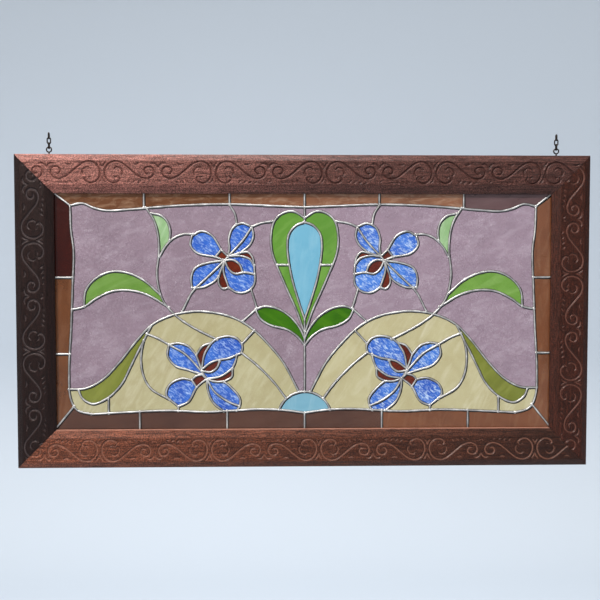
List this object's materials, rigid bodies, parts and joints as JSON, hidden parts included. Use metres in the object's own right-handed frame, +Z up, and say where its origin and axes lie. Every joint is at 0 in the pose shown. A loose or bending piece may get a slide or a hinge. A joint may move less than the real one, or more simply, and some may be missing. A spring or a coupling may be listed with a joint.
{
  "type": "framed stained glass window panel",
  "caption": "Wide leaded glass panel with mirrored flowers and leaves in a carved, mitred wooden frame, hung by short chains on screw eyes.",
  "frame": {"origin": "midway between the tops of the two chains, in the middle of the frame front to back", "axes": "+Z up, +X to the right as seen from the front, +Y to the back; the carved front faces -Y"},
  "size_m": [0.914, 0.02, 0.5328],
  "materials": {
    "wood": "satin, reddish brown stain",
    "leading": "satin, dull silver solder",
    "dark_metal": "satin, bronze black",
    "amber": "clear, rippled",
    "mauve": "satin, granular",
    "yellow": "satin, streaky",
    "green": "satin, streaky",
    "pale_green": "satin, streaky",
    "dark_green": "satin, streaky",
    "olive": "satin, streaky",
    "blue": "satin, white streaks",
    "light_blue": "satin, streaky"
  },
  "bodies": {
    "root": {"rail_top": "wood", "rail_bottom": "wood", "rail_right": "wood", "rail_left": "wood", "leading": "leading", "border_side_left": "amber", "border_side_right": "amber", "field_head_left": "mauve", "field_head_right": "mauve", "field_side_left": "mauve", "field_side_right": "mauve", "field_over_flower_left": "mauve", "field_over_flower_right": "mauve", "field_in_hoop_left": "mauve", "field_in_hoop_right": "mauve", "field_under_flower_left": "mauve", "field_under_flower_right": "mauve", "field_beside_drop_left": "mauve", "field_beside_drop_right": "mauve", "field_under_leaf_left": "mauve", "field_under_leaf_right": "mauve", "ground_corner_left": "yellow", "ground_corner_right": "yellow", "ground_side_left": "yellow", "ground_side_right": "yellow", "ground_in_hoop_left": "yellow", "ground_in_hoop_right": "yellow", "ground_under_arch_left": "yellow", "ground_under_arch_right": "yellow", "ground_over_petal_left": "yellow", "ground_over_petal_right": "yellow", "ground_arch_band_left": "yellow", "ground_arch_band_right": "yellow", "ground_beside_middle_left": "yellow", "ground_beside_middle_right": "yellow", "ground_between_petals_left": "yellow", "ground_between_petals_right": "yellow", "crescent_leaf_left": "green", "crescent_leaf_right": "green", "heart_side_left": "green", "heart_side_right": "green", "pale_leaf_left": "pale_green", "pale_leaf_right": "pale_green", "dark_leaf_left": "dark_green", "dark_leaf_right": "dark_green", "olive_leaf_left": "olive", "olive_leaf_right": "olive", "flower_upper_left": "blue", "flower_upper_right": "blue", "flower_lower_left": "blue", "flower_lower_right": "blue", "border_head": "amber", "border_foot": "amber", "field_over_heart": "mauve", "drop": "light_blue", "foot_half_circle": "light_blue", "screw_eye_left": "dark_metal", "chain_left": "dark_metal", "screw_eye_right": "dark_metal", "chain_right": "dark_metal"}
  },
  "joints": []
}
